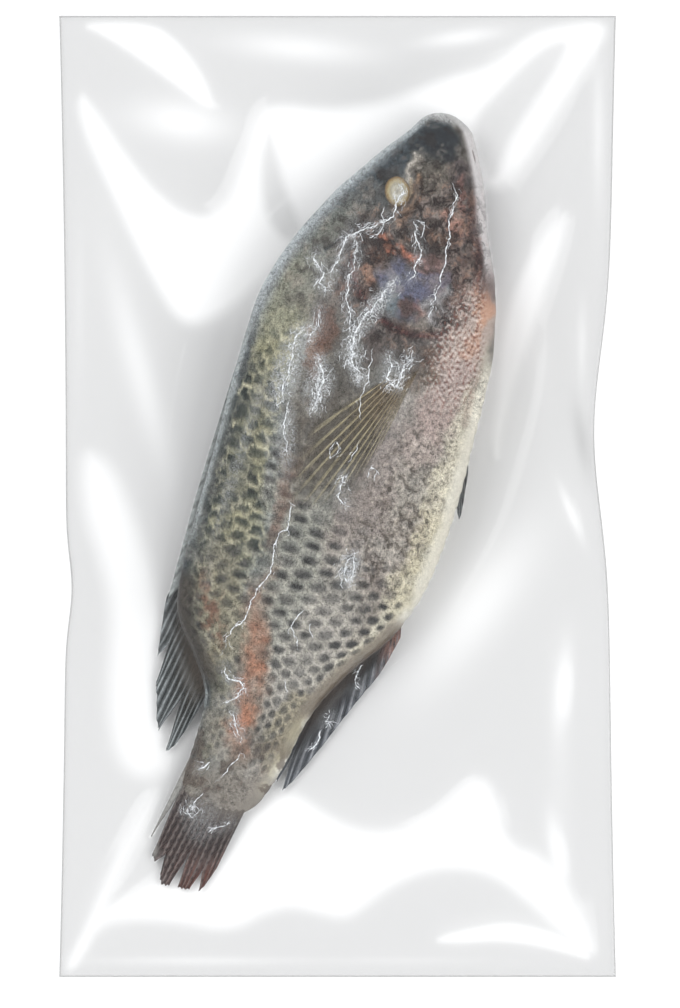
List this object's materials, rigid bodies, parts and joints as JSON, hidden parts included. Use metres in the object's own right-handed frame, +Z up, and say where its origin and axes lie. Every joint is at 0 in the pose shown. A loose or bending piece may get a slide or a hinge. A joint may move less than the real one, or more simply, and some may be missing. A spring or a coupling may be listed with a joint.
{
  "type": "whole raw fish sealed in a clear pouch",
  "caption": "Whole raw fish lying on its side inside a clear flat sealed pouch whose film is drawn tight over the fish and falls into soft folds round it.",
  "frame": {"origin": "centre of the pouch's flat underside", "axes": "+Z up, away from the surface it lies on; +Y along the pouch towards the end that the fish's head points to; +X towards the belly side of the fish"},
  "size_m": [0.205, 0.354, 0.0421],
  "materials": {
    "fish_skin": "wet scaly skin, dark at the back and pinkish cream at the belly",
    "pouch_film": "clear glossy film"
  },
  "bodies": {
    "root": {"fish": "fish_skin", "pouch": "pouch_film"}
  },
  "joints": []
}
